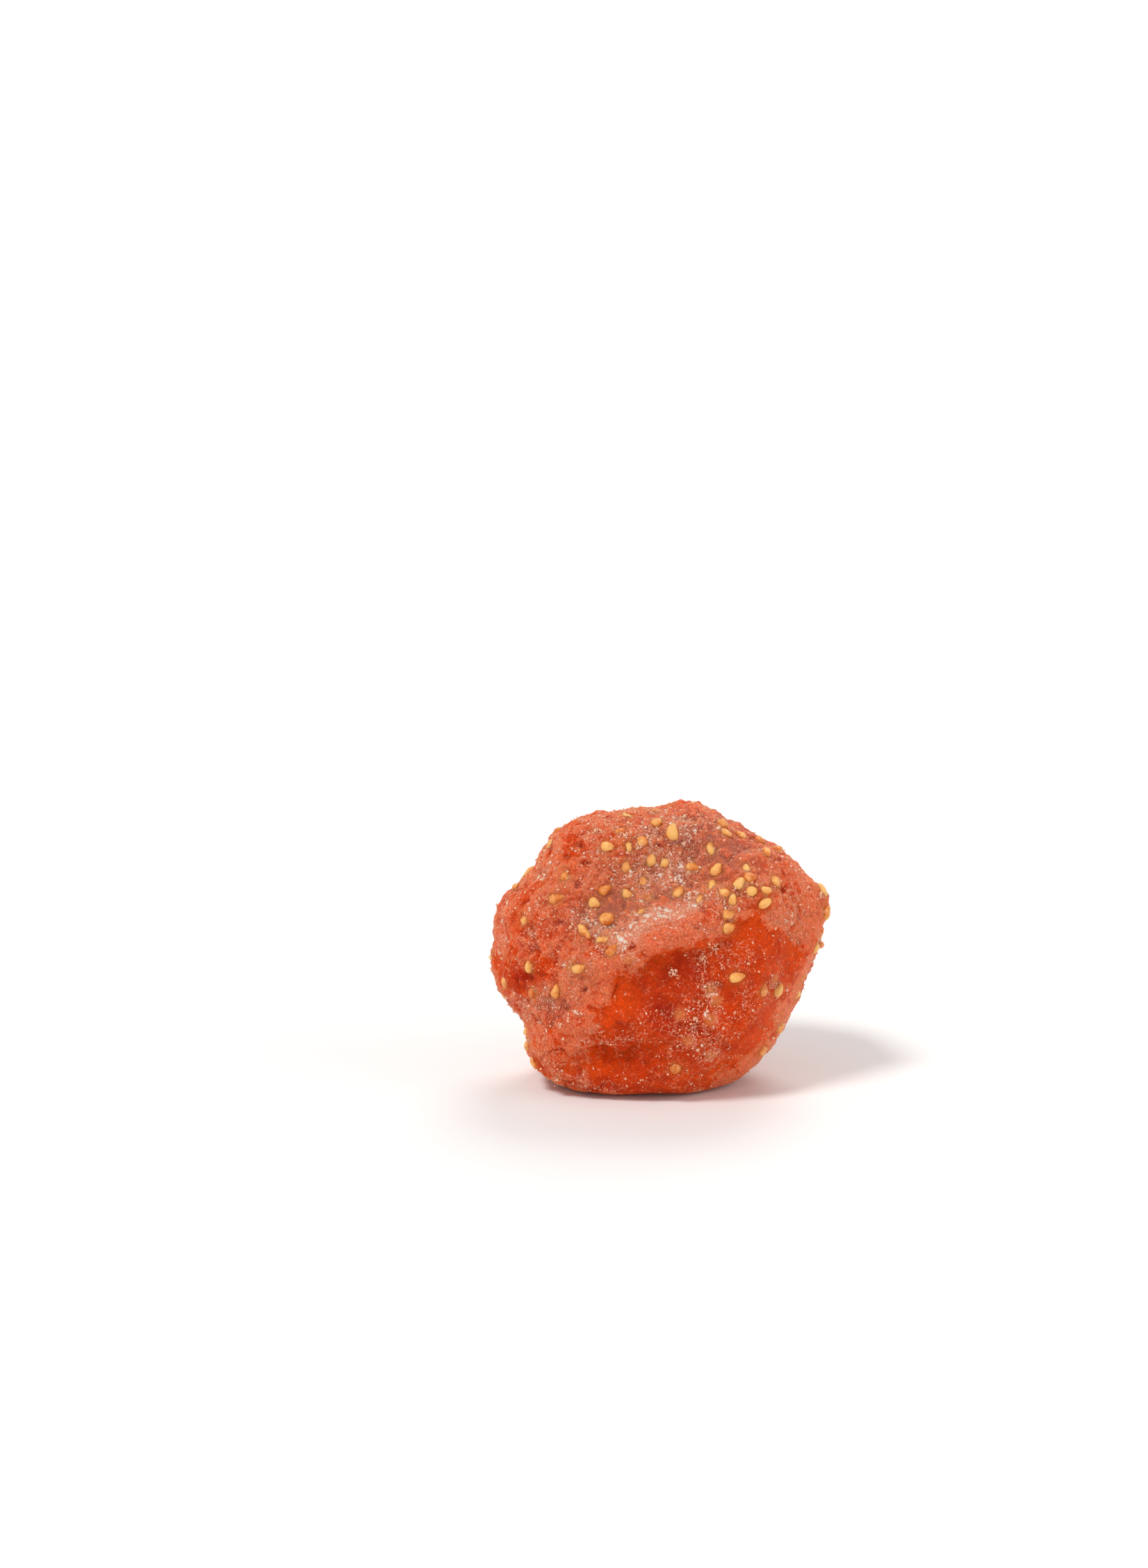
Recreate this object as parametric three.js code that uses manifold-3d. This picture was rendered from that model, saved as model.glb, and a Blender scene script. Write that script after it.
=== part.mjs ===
// A whole dried strawberry: a soft, sugar-dried fruit about 30 mm across that shrank and was pressed in drying.
// Its broad face, with the hollow that the green hull left, leans back a little. Its blunt tip points to the back
// and downwards, and it stands on a small flat spot under its lower edge.
//
// The flesh is one closed skin. It starts from an uneven outline that swells to the front and to the back, and is
// then dented, creased and lumped by formulas. The achenes, which are the yellow seeds, are fused into it.
//
// Millimetres and degrees. +X is to the right, +Z is up, and the broad face looks along -Y and a little upwards.
// The origin is on the surface that the fruit rests on, under the middle of the fruit.

import * as THREE from "three";
import { mergeVertices } from "three/addons/utils/BufferGeometryUtils.js";
import Module from "manifold-3d";

// Driving dimensions of the flesh.
const LEAN = 15; // how far the broad face leans back from upright
const OUTLINE_RADII = [
  // of the broad face's outline, every 15 degrees anticlockwise from +X
  13.55, 15.1, 14.3, 12.9, 12.2, 13.0, 12.7, 12.9, 13.6, 13.95, 13.65, 15.1,
  14.65, 14.5, 14.1, 15.55, 14.85, 13.7, 13.25, 13.55, 13.25, 12.85, 12.65, 12.75,
];
const FRONT_DEPTH = 9.6; // from the outline forwards to the highest part of the broad face
const BACK_DEPTH = 9.0; // from the outline to the back, without the blunt tip
const FRONT_FULLNESS = 0.8; // 1 rounds the edge like an ellipse, and less makes it fuller
const BACK_FULLNESS = 0.9;
const FOOT_HEIGHT = 11.5; // from the resting surface up to the middle of the outline
const FOOT_ROUNDING = 0.8; // height over which the side turns into the flat spot
const MIDDLE = { x: -0.1, y: -0.16 }; // of the whole fruit, from the middle of its outline
const SKIN_STEPS = 20; // squares along each side of the six patches that make up the skin

// Dents and swellings of the two faces. Each is an oval bump: its middle, its long and short reach, the turn of
// its long side, and its height, which is negative for a dent. They die out towards the rim.
const FRONT_RELIEF = {
  hullHollow: { at: [-0.6, 5.8], reach: [6.2, 3.2], turn: 10, height: -2.5 },
  crest: { at: [-0.5, 0.7], reach: [6.4, 1.8], turn: 24, height: 1.2 },
  rightShoulder: { at: [8.6, 5.2], reach: [3.6, 4.2], turn: 0, height: 1.1 },
  upperLeftLump: { at: [-8.8, 6.4], reach: [3.2, 2.6], turn: 30, height: 0.9 },
  lowerLeftSwelling: { at: [-7.8, -4.6], reach: [4.6, 2.6], turn: -50, height: 0.8 },
  bellyFlat: { at: [3.4, -3.6], reach: [4.6, 2.8], turn: 15, height: -0.8 },
  lowerFold: { at: [-4.6, -9.4], reach: [4.6, 1.6], turn: 6, height: -0.8 },
  lowerFoldLip: { at: [-3.6, -6.8], reach: [4.6, 1.5], turn: 8, height: 0.5 },
  lowerRightSwelling: { at: [7.6, -7.2], reach: [3.0, 2.4], turn: 40, height: 0.5 },
};
const BACK_RELIEF = {
  bluntTip: { at: [1.6, -4.6], reach: [5.6, 4.4], turn: -10, height: 2.4 },
  sunkenSide: { at: [-4.6, 4.4], reach: [5.4, 3.2], turn: 30, height: -2.0 },
  longCrease: { at: [-5.2, -1.6], reach: [6.0, 1.7], turn: 24, height: -1.1 },
  shortCrease: { at: [7.4, 2.2], reach: [4.4, 1.6], turn: -62, height: -1.2 },
  upperSwelling: { at: [2.0, 7.8], reach: [4.4, 2.6], turn: -12, height: 0.8 },
  lowerSwelling: { at: [-6.4, -6.8], reach: [4.0, 2.6], turn: 20, height: 0.7 },
};
const RELIEF_FADE = 0.45; // how far a place has to look forwards, from 0 to 1, for the whole relief

// Small lumps all over, left by uneven drying.
const LUMPS = { count: 170, height: 0.6, spread: [0.09, 0.22], shift: 0.3, draw: 7 };

// The achenes. Those on the broad face are placed by eye, each as its middle and the turn of its long side. A sunk
// one shows only as a slight swelling. Those on the rest of the skin are scattered.
const SEED = { length: 1.6, width: 1.15, thickness: 0.95, sides: 6 };
const SEED_PROFILE = [
  // half-width and place along the seed, as shares of its width and length
  [0, -0.5], [0.48, -0.2], [0.4, 0.24], [0, 0.5],
];
const PROUD_SEEDS = [
  [-4.6, 8.6, -5], [-0.3, 10.7, 80], [1.0, 9.7, 80], [5.2, 10.3, 20], [5.5, 9.5, 0], [4.8, 6.5, 60],
  [1.6, 4.7, 90], [-4.8, 4.8, 15], [-5.7, 3.7, -30], [-4.6, 2.3, 25], [-6.5, 1.2, -50], [6.2, 4.0, 80],
  [5.9, 1.6, 20], [6.8, 5.4, 50], [7.7, 5.9, 25], [7.9, 4.8, 15], [9.2, 4.9, 0], [9.1, 3.8, 30],
  [10.3, 5.9, 40], [9.1, 8.0, 70], [10.4, 8.3, -30], [-7.1, -2.0, 20], [-9.1, -4.0, 80], [-11.7, -7.6, 80],
  [14.2, 3.0, 80], [14.1, 1.5, 75], [6.4, -2.5, 10], [10.5, -3.8, 70],
];
const LEVEL_SEEDS = [
  [-2.7, 8.6, 90], [-3.5, 10.4, 50], [-3.1, 11.8, 0], [-1.5, 8.9, 0], [-3.0, 6.9, 90], [-0.8, 7.4, 110],
  [0.4, 7.2, 20], [2.9, 6.9, 0], [4.3, 8.5, 105], [5.4, 11.3, 0], [4.4, 5.2, 100], [3.3, 4.2, 85],
  [5.5, 4.6, 60], [-2.8, 4.5, 0], [-1.5, 5.6, 110], [-8.3, 6.1, 45], [-8.9, 4.1, 20], [-4.9, 0.6, -20],
  [-4.1, -0.3, 50], [-1.6, 3.1, 30], [-11.9, 2.3, 30], [-11.5, -1.8, 80], [-11.2, -4.1, 60], [5.9, 2.8, 10],
  [7.4, 6.8, 90], [8.8, -3.6, 85], [1.4, -10.3, 20],
];
const SUNK_SEEDS = [
  [4.3, -3.5, 0], [10.0, -2.8, 40], [4.7, -4.5, 60], [4.2, -6.1, 10], [1.7, -5.7, 0], [2.4, -7.9, 30],
  [4.5, -9.4, 0], [-2.6, -1.2, 20], [-7.9, -1.8, 0], [-1.1, 4.2, 40],
];
const SEED_SINK = { proud: 0.05, level: 0.2, sunk: 0.36 }; // depth of a seed's middle under the skin
const SCATTER = {
  places: 156, // tried over the whole skin
  shift: 0.14,
  draw: 23,
  spacing: 1.75, // least distance to the next seed
  clearance: 1.3, // least height over the resting surface
  openFace: 0.3, // they stay off the part of the broad face that looks this much forwards
  sink: [0.02, 0.25],
  scale: [0.85, 1.1],
};

const FLESH_LOOK = { color: 0xc8482a, roughness: 0.5, metalness: 0 };

const TURN = 2 * Math.PI;
const SLOPE_STEP = 0.02; // change of direction, in radians, over which the skin's slope is taken
const { degToRad, lerp, smoothstep } = THREE.MathUtils;

// Draws numbers from 0 to 1 that are the same in every run.
function drawer(seed) {
  let state = seed;
  return () => {
    state = (Math.imul(state, 1664525) + 1013904223) >>> 0;
    return state / 2 ** 32;
  };
}

// Radius of the outline at an angle, by a smooth closed curve through the listed radii.
function outlineRadius(angle) {
  const count = OUTLINE_RADII.length;
  const place = (angle / TURN + 1) * count;
  const first = Math.floor(place);
  const t = place - first;
  const [a, b, c, d] = [-1, 0, 1, 2].map((k) => OUTLINE_RADII[(first + k) % count]);
  return b + 0.5 * t * (c - a + t * (2 * a - 5 * b + 4 * c - d + t * (3 * (b - c) + d - a)));
}

// Height of one face's relief at a point of it.
function reliefHeight(relief, x, y) {
  let height = 0;
  for (const bump of Object.values(relief)) {
    const [long, short] = bump.reach;
    const turn = degToRad(bump.turn);
    const [dx, dy] = [x - bump.at[0], y - bump.at[1]];
    const along = (dx * Math.cos(turn) + dy * Math.sin(turn)) / long;
    const across = (dy * Math.cos(turn) - dx * Math.sin(turn)) / short;
    height += bump.height * Math.exp(-along * along - across * across);
  }
  return height;
}

// An even spread of directions on a spiral round a ball, each shifted a little by the draw.
function spiralDirections(count, draw, shift) {
  const golden = Math.PI * (3 - Math.sqrt(5));
  const directions = [];
  for (let i = 0; i < count; i++) {
    const height = 1 - (2 * i + 1) / count;
    const ring = Math.sqrt(1 - height * height);
    const direction = new THREE.Vector3(ring * Math.cos(i * golden), ring * Math.sin(i * golden), height);
    direction.x += shift * (draw() - 0.5);
    direction.y += shift * (draw() - 0.5);
    direction.z += shift * (draw() - 0.5);
    directions.push(direction.normalize());
  }
  return directions;
}

const lumpDraw = drawer(LUMPS.draw);
const lumps = spiralDirections(LUMPS.count, lumpDraw, LUMPS.shift).map((direction) => ({
  direction,
  spread: lerp(...LUMPS.spread, lumpDraw()),
  height: LUMPS.height * (2 * lumpDraw() - 1),
}));

function lumpHeight(direction) {
  let height = 0;
  for (const lump of lumps) {
    const gap = (1 - direction.dot(lump.direction)) / (lump.spread * lump.spread);
    height += lump.height * Math.exp(-gap);
  }
  return height;
}

// The larger of a height and 0, with a rounded turn between them. It is exactly 0 further down than the rounding.
function roundedFloor(height) {
  const near = Math.max(FOOT_ROUNDING - Math.abs(height), 0) / FOOT_ROUNDING;
  return Math.max(height, 0) + (near * near * FOOT_ROUNDING) / 4;
}

// The point of the skin that lies in a direction. The direction is in the face's own frame: x to the right, y up
// the face and z out of it.
function skinPoint(direction) {
  const { x, y, z } = direction;
  const front = z > 0;
  const fullness = front ? FRONT_FULLNESS : BACK_FULLNESS;
  const angle = Math.atan2(y, x);
  const out = outlineRadius(angle) * Math.hypot(x, y) ** fullness;
  const face = new THREE.Vector3(out * Math.cos(angle), out * Math.sin(angle), 0);
  const relief = reliefHeight(front ? FRONT_RELIEF : BACK_RELIEF, face.x, face.y);
  const depth = (front ? FRONT_DEPTH : BACK_DEPTH) * Math.abs(z) ** fullness;
  face.z = Math.sign(z) * (depth + relief * smoothstep(Math.abs(z), 0, RELIEF_FADE));
  face.addScaledVector(direction, lumpHeight(direction));
  const [rise, run] = [Math.sin(degToRad(LEAN)), Math.cos(degToRad(LEAN))];
  return new THREE.Vector3(
    face.x - MIDDLE.x,
    face.y * rise - face.z * run - MIDDLE.y,
    roundedFloor(face.y * run + face.z * rise + FOOT_HEIGHT),
  );
}

// A frame that sits on the skin: its x and y lie along the skin and its z points outwards.
function skinFrame(direction) {
  const up = new THREE.Vector3(0, 1, 0).addScaledVector(direction, -direction.y).normalize();
  const side = new THREE.Vector3().crossVectors(up, direction);
  const [along, rise] = [side, up].map((way) => {
    const ahead = skinPoint(direction.clone().addScaledVector(way, SLOPE_STEP).normalize());
    const behind = skinPoint(direction.clone().addScaledVector(way, -SLOPE_STEP).normalize());
    return ahead.sub(behind).normalize();
  });
  const out = new THREE.Vector3().crossVectors(along, rise).normalize();
  const across = new THREE.Vector3().crossVectors(out, along);
  return new THREE.Matrix4().makeBasis(along, across, out).setPosition(skinPoint(direction));
}

// The skin: a cube of square patches, blown up to a ball of directions and then to the fruit.
function skinGeometry() {
  const cube = new THREE.BoxGeometry(2, 2, 2, SKIN_STEPS, SKIN_STEPS, SKIN_STEPS);
  cube.deleteAttribute("normal");
  cube.deleteAttribute("uv");
  const skin = mergeVertices(cube, 1e-5);
  const places = skin.getAttribute("position");
  for (let i = 0; i < places.count; i++) {
    const corner = [places.getX(i), places.getY(i), places.getZ(i)];
    const evened = corner.map((value) => Math.tan((value * Math.PI) / 4));
    const point = skinPoint(new THREE.Vector3(...evened).normalize());
    places.setXYZ(i, point.x, point.y, point.z);
  }
  return skin;
}

// The direction that leads to a point of the broad face.
function faceDirection(x, y) {
  const angle = Math.atan2(y, x);
  const share = Math.min(Math.hypot(x, y) / outlineRadius(angle), 0.999);
  const flat = share ** (1 / FRONT_FULLNESS);
  return new THREE.Vector3(flat * Math.cos(angle), flat * Math.sin(angle), Math.sqrt(1 - flat * flat));
}

// Where every seed sits: those placed by eye, and then the scattered ones that have room.
function seedPlaces() {
  const placed = (list, sink) =>
    list.map(([x, y, turn]) => {
      const direction = faceDirection(x, y);
      return { direction, at: skinPoint(direction), turn, sink, scale: 1 };
    });
  const seeds = [
    ...placed(PROUD_SEEDS, SEED_SINK.proud),
    ...placed(LEVEL_SEEDS, SEED_SINK.level),
    ...placed(SUNK_SEEDS, SEED_SINK.sunk),
  ];
  const draw = drawer(SCATTER.draw);
  for (const direction of spiralDirections(SCATTER.places, draw, SCATTER.shift)) {
    const at = skinPoint(direction);
    const [turn, sink, scale] = [360 * draw(), lerp(...SCATTER.sink, draw()), lerp(...SCATTER.scale, draw())];
    const crowded = seeds.some((other) => other.at.distanceTo(at) < SCATTER.spacing);
    if (crowded || direction.z > SCATTER.openFace || at.z < SCATTER.clearance) continue;
    seeds.push({ direction, at, turn, sink, scale });
  }
  return seeds;
}

// One seed: a drop shape, blunt at one end, lying along x.
function seedGeometry() {
  const profile = SEED_PROFILE.map(([half, along]) => new THREE.Vector2(half, along));
  const seed = new THREE.LatheGeometry(profile, SEED.sides);
  seed.rotateZ(-Math.PI / 2);
  seed.scale(SEED.length, SEED.width, SEED.thickness);
  return seed;
}

const wasm = await Module();
wasm.setup();

// A closed mesh as a solid that can be joined.
function solidOf(geometry) {
  const bare = geometry.clone();
  bare.deleteAttribute("normal");
  bare.deleteAttribute("uv");
  const merged = mergeVertices(bare, 1e-4);
  return new wasm.Manifold(
    new wasm.Mesh({
      numProp: 3,
      vertProperties: new Float32Array(merged.attributes.position.array),
      triVerts: new Uint32Array(merged.index.array),
    }),
  );
}

// A solid as a geometry that three.js can draw.
function geometryOf(solid) {
  const mesh = solid.getMesh();
  const geometry = new THREE.BufferGeometry();
  geometry.setAttribute("position", new THREE.BufferAttribute(mesh.vertProperties, mesh.numProp));
  geometry.setIndex(new THREE.BufferAttribute(mesh.triVerts, 1));
  geometry.computeVertexNormals();
  return geometry;
}

// The fruit: the skin with every seed fused into it.
function fruitGeometry() {
  const seed = seedGeometry();
  let fruit = solidOf(skinGeometry());
  for (const { direction, turn, sink, scale } of seedPlaces()) {
    const place = skinFrame(direction)
      .multiply(new THREE.Matrix4().makeTranslation(0, 0, -sink))
      .multiply(new THREE.Matrix4().makeRotationZ(degToRad(turn)))
      .multiply(new THREE.Matrix4().makeScale(scale, scale, scale));
    fruit = fruit.add(solidOf(seed.clone().applyMatrix4(place)));
  }
  return geometryOf(fruit);
}

const fruit = new THREE.Mesh(fruitGeometry(), new THREE.MeshStandardMaterial(FLESH_LOOK));
fruit.name = "dried_strawberry";

const part = new THREE.Group();
part.add(fruit);

export default part;
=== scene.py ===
# Dresses the dried strawberry: flesh with folds, pits and sugar bloom, its seeds, its sugar and a stage.

from itertools import product
from math import cos, pi, radians, sin
from typing import NamedTuple

import bpy
import numpy as np
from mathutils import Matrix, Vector


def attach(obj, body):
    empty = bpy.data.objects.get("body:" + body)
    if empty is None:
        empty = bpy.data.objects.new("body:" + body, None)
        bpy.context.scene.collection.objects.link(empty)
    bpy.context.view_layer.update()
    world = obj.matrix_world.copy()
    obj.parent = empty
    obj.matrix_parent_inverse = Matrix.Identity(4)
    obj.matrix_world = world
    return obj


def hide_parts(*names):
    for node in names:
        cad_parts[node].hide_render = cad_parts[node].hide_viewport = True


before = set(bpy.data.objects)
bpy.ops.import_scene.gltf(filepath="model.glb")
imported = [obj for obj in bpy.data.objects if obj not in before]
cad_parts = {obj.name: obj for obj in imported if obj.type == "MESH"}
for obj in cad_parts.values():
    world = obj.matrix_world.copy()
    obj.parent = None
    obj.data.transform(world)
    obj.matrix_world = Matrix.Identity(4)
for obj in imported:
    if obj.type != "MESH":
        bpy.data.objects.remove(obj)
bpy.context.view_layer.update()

bl_info = {
    "name": "Dried strawberry",
    "version": (1, 0, 0),
    "blender": (4, 5, 0),
    "location": "View3D > Sidebar > Fruit",
    "description": "Makes a dried strawberry with its seeds, its sugar and a plain stage",
    "category": "Add Mesh",
}

MM = 0.001  # metres in a millimetre
TURN = 2 * pi

# The coarse skin is the solid's own, from the same values. The outline's radii stand every 15 degrees.
OUTLINE_RADII = MM * np.array([
    13.55, 15.1, 14.3, 12.9, 12.2, 13.0, 12.7, 12.9, 13.6, 13.95, 13.65, 15.1,
    14.65, 14.5, 14.1, 15.55, 14.85, 13.7, 13.25, 13.55, 13.25, 12.85, 12.65, 12.75,
])
FRONT_FULLNESS = 0.8
BACK_FULLNESS = 0.9
FOOT_ROUNDING = 0.8 * MM
MIDDLE = MM * np.array([-0.1, -0.16])
RELIEF_FADE = 0.45

# Dents and swellings in millimetres and degrees: the middle, the long and short reach, the turn, the height.
FRONT_RELIEF = {
    "hull hollow": ((-0.6, 5.8), (6.2, 3.2), 10, -2.5),
    "crest": ((-0.5, 0.7), (6.4, 1.8), 24, 1.2),
    "right shoulder": ((8.6, 5.2), (3.6, 4.2), 0, 1.1),
    "upper left lump": ((-8.8, 6.4), (3.2, 2.6), 30, 0.9),
    "lower left swelling": ((-7.8, -4.6), (4.6, 2.6), -50, 0.8),
    "belly flat": ((3.4, -3.6), (4.6, 2.8), 15, -0.8),
    "lower fold": ((-4.6, -9.4), (4.6, 1.6), 6, -0.8),
    "lower fold lip": ((-3.6, -6.8), (4.6, 1.5), 8, 0.5),
    "lower right swelling": ((7.6, -7.2), (3.0, 2.4), 40, 0.5),
}
BACK_RELIEF = {
    "blunt tip": ((1.6, -4.6), (5.6, 4.4), -10, 2.4),
    "sunken side": ((-4.6, 4.4), (5.4, 3.2), 30, -2.0),
    "long crease": ((-5.2, -1.6), (6.0, 1.7), 24, -1.1),
    "short crease": ((7.4, 2.2), (4.4, 1.6), -62, -1.2),
    "upper swelling": ((2.0, 7.8), (4.4, 2.6), -12, 0.8),
    "lower swelling": ((-6.4, -6.8), (4.0, 2.6), 20, 0.7),
}
LUMPS = {"count": 170, "spread": (0.09, 0.22), "shift": 0.3, "draw": 7}

# The seeds: the middle in millimetres on the broad face, and the turn in degrees.
PROUD_SEEDS = [
    (-4.6, 8.6, -5), (-0.3, 10.7, 80), (1.0, 9.7, 80), (5.2, 10.3, 20), (5.5, 9.5, 0), (4.8, 6.5, 60),
    (1.6, 4.7, 90), (-4.8, 4.8, 15), (-5.7, 3.7, -30), (-4.6, 2.3, 25), (-6.5, 1.2, -50), (6.2, 4.0, 80),
    (5.9, 1.6, 20), (6.8, 5.4, 50), (7.7, 5.9, 25), (7.9, 4.8, 15), (9.2, 4.9, 0), (9.1, 3.8, 30),
    (10.3, 5.9, 40), (9.1, 8.0, 70), (10.4, 8.3, -30), (-7.1, -2.0, 20), (-9.1, -4.0, 80), (-11.7, -7.6, 80),
    (14.2, 3.0, 80), (14.1, 1.5, 75), (6.4, -2.5, 10), (10.5, -3.8, 70),
]
LEVEL_SEEDS = [
    (-2.7, 8.6, 90), (-3.5, 10.4, 50), (-3.1, 11.8, 0), (-1.5, 8.9, 0), (-3.0, 6.9, 90), (-0.8, 7.4, 110),
    (0.4, 7.2, 20), (2.9, 6.9, 0), (4.3, 8.5, 105), (5.4, 11.3, 0), (4.4, 5.2, 100), (3.3, 4.2, 85),
    (5.5, 4.6, 60), (-2.8, 4.5, 0), (-1.5, 5.6, 110), (-8.3, 6.1, 45), (-8.9, 4.1, 20), (-4.9, 0.6, -20),
    (-4.1, -0.3, 50), (-1.6, 3.1, 30), (-11.9, 2.3, 30), (-11.5, -1.8, 80), (-11.2, -4.1, 60), (5.9, 2.8, 10),
    (7.4, 6.8, 90), (8.8, -3.6, 85), (1.4, -10.3, 20),
]
SUNK_SEEDS = [
    (4.3, -3.5, 0), (10.0, -2.8, 40), (4.7, -4.5, 60), (4.2, -6.1, 10), (1.7, -5.7, 0), (2.4, -7.9, 30),
    (4.5, -9.4, 0), (-2.6, -1.2, 20), (-7.9, -1.8, 0), (-1.1, 4.2, 40),
]
PROUD_SINK = -0.08 * MM
LEVEL_SINK = 0.2 * MM
SCATTER = {
    "places": 156,
    "shift": 0.14,
    "draw": 23,
    "spacing": 1.75 * MM,
    "clearance": 1.3 * MM,
    "open face": 0.3,
    "sink": (0.02 * MM, 0.25 * MM),
    "scale": (0.85, 1.1),
}
SLOPE_STEP = 0.02  # how far a direction is shifted to find the skin's slope

# Marks placed on the broad face, in millimetres and degrees: the middle, the long and short reach, the
# turn and how much is added.
# Bloom marks. The one on the right edge is partly painted light that makes that edge lighter, and the one
# taken away in the fold low on the left is partly painted shade.
BLOOM_AND_PAINTED_LIGHT_PLACES = [
    ((-10.5, 5.0), (6.0, 8.0), 0, 0.2), ((9.8, 6.4), (5.2, 4.0), -20, 0.12),
    ((-0.6, 1.5), (6.4, 2.0), 26, 0.36), ((-5.6, -2.6), (5.6, 2.8), 40, 0.24),
    ((-9.2, -8.4), (3.2, 2.6), 0, 0.08), ((6.6, -5.3), (1.8, 1.0), -40, 0.4),
    ((1.5, 12.0), (5.0, 1.6), 0, 0.02), ((12.6, 2.4), (2.6, 2.4), 0, 0.35),
    ((-12.4, -2.4), (2.8, 2.2), 60, -0.8), ((5.8, 8.4), (3.6, 2.4), -20, -0.6),
    ((-4.3, -9.8), (3.6, 1.3), 5, -0.4), ((-1.6, -11.9), (6.5, 1.3), 0, -0.35),
    ((0.4, 6.2), (3.4, 2.4), 0, -0.12), ((-7.9, 9.6), (1.3, 0.9), 30, -0.4),
    ((-12.3, 3.6), (1.6, 2.6), -20, -0.25), ((-11.0, 1.6), (2.4, 0.9), -20, -0.4),
    ((-5.2, 2.6), (3.6, 1.6), 10, -0.4), ((-9.8, -5.4), (2.0, 1.5), 0, -0.15),
]
MAUVE_PLACES = [
    ((-0.6, 5.2), (6.4, 3.6), 12, 0.96), ((6.0, 8.6), (4.6, 3.0), -20, 0.72),
    ((1.6, 11.2), (4.0, 1.6), 0, 0.48), ((-9.4, -5.2), (2.8, 1.8), 20, 0.72),
    ((-4.8, 2.6), (4.4, 1.9), 10, 0.72), ((-7.2, -3.2), (3.0, 1.4), 30, 0.48),
    ((0.2, 4.5), (1.1, 0.9), 0, 0.6),
]
FROST_PLACES = [
    ((0.2, 6.3), (3.6, 2.2), 10, 0.55), ((0.9, 3.0), (3.2, 0.85), 12, 0.75),
    ((-2.8, 0.8), (2.6, 0.6), 33, 0.7), ((-5.4, 1.6), (3.2, 1.3), -5, 0.45),
    ((1.2, 9.8), (3.6, 1.7), 0, 0.3), ((-9.6, -5.4), (2.6, 1.5), 10, 0.28),
    ((3.4, -5.9), (2.4, 3.4), 10, 0.1), ((5.0, -0.8), (4.4, 1.2), 12, 0.25),
    ((4.8, -8.4), (1.6, 2.4), 20, 0.25), ((-3.8, -8.2), (3.2, 0.6), 6, 0.4),
    ((0.2, 4.5), (1.0, 0.8), 0, -0.5), ((-4.1, 3.5), (1.3, 0.9), 0, -0.35),
    ((0.4, -2.2), (3.4, 1.6), 25, -0.25), ((9.2, 0.9), (2.8, 1.6), -10, -0.25),
    ((-4.4, -5.3), (2.4, 1.3), 20, -0.25), ((-4.8, -10.0), (2.2, 1.2), 5, -0.2),
    ((5.0, 8.0), (2.4, 2.0), 0, -0.35), ((-12.6, -2.0), (2.2, 2.0), 0, -0.25),
    ((12.3, 3.4), (2.0, 2.4), 0, 0.15),
]
# Deeper red: partly the flesh's own, partly painted shade low on the belly and along the bottom. Marks below
# zero paint a clear orange glow where light shines through.
DEEP_RED_SHADE_AND_GLOW_PLACES = [
    ((0.6, -4.4), (3.4, 2.4), 30, 0.3), ((9.0, 1.2), (2.6, 1.6), -20, -0.5),
    ((-4.6, -5.3), (2.4, 1.2), 20, -0.5), ((-12.4, -2.4), (2.4, 1.8), 60, 0.6),
    ((3.0, -7.6), (2.0, 2.2), 0, 0.15), ((5.2, 8.2), (2.4, 2.2), 0, 0.35),
    ((-4.4, -11.8), (3.4, 1.0), 0, 0.4),
]

# Holes in the broad face: the middle, the long and short reach, the turn and the depth.
HOLES = [
    ((-6.42, 7.22), (0.55, 0.24), -5, 0.5), ((-7.05, 5.06), (0.42, 0.3), 20, 0.5),
    ((-8.16, 7.9), (0.26, 0.2), 0, 0.35), ((-8.58, 2.0), (0.42, 0.26), -40, 0.5),
    ((-11.4, 2.0), (0.5, 0.36), 0, 0.35), ((-7.1, 8.95), (0.3, 0.24), 0, 0.3),
    ((-6.68, -3.87), (0.34, 0.24), 0, 0.5), ((-11.8, -2.7), (0.6, 0.32), 0, 0.35),
    ((-6.26, -5.45), (0.5, 0.14), 0, 0.35), ((10.27, 7.5), (0.6, 0.18), 5, 0.45),
    ((11.0, 5.3), (0.46, 0.32), -20, 0.4), ((2.8, 7.9), (0.34, 0.24), 0, 0.35),
    ((-6.6, 6.2), (0.3, 0.22), 0, 0.3), ((5.0, -3.2), (0.5, 0.2), 30, 0.25),
    ((-0.2, 8.6), (0.34, 0.2), 0, 0.3),
]

# The edge under the crest, from the left to the right. Under it the flesh sinks into the clear red belly.
CREST_EDGE = (
    (-10, -6.5, -4.6, -3.6, -1.9, 0.4, 3.5, 5.2, 6.6, 8.5, 11, 13, 15),
    (-9.6, -6.6, -4.4, -2.2, -1.4, -0.2, 0.4, 1.0, 2.3, 2.5, 1.6, -0.6, -3),
)
# The lip of the fold low on the left. Under it the flesh is tucked in.
FOLD_EDGE = (
    (-8.2, -6.8, -5.8, -4.6, -3.8, -2.2, -1.4, 0.0),
    (-9.8, -8.8, -8.6, -8.6, -8.9, -8.5, -8.1, -7.9),
)
# A drop under an edge, in millimetres: where it sets in, where it is full, how soon it comes back, its oval.
CREST_DROP = {"start": -0.1, "full": 0.8, "back": 3.2, "oval": ((0.6, -1.0), (7.6, 5.0), 20)}
FOLD_DROP = {"start": -0.1, "full": 0.3, "back": 1.6, "oval": ((-4.0, -9.2), (3.8, 2.8), 5)}
FOLD_LIP = {"above": 0.4, "width": 0.45, "oval": ((-4.0, -8.6), (3.8, 2.8), 5)}
SHOULDER_RIM = ((10.2, 8.6), (2.4, 1.6), -45)

# How high each form of the skin stands over the coarse skin.
FORM_HEIGHTS = {
    "calm cobble": 0.24 * MM,
    "low knob": 0.12 * MM,
    "calm grain": 0.06 * MM,
    "lip": 0.35 * MM,
    "step": -0.5 * MM,
    "fold": -0.65 * MM,
    "hole": -0.75 * MM,
    "shoulder rim": 0.45 * MM,
}
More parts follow.
